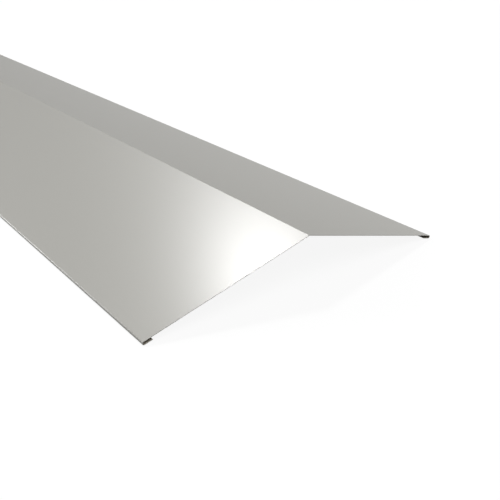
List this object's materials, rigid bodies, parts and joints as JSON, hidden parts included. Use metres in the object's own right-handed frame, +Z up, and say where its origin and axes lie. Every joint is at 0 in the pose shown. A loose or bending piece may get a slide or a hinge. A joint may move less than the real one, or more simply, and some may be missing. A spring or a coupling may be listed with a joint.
{
  "type": "roof ridge cap",
  "caption": "Folded sheet-metal ridge cap with equal sloping wings and an open hem turned under along each eave, for covering the joint where roof slopes meet.",
  "frame": {"origin": "middle of the cap's length, under the ridge, on the level that the hems rest on", "axes": "+X across the roof, +Y along the ridge, +Z up"},
  "size_m": [0.2892, 2, 0.0413],
  "materials": {
    "coated_steel": "satin"
  },
  "bodies": {
    "root": {"ridge_cap": "coated_steel"}
  },
  "joints": []
}
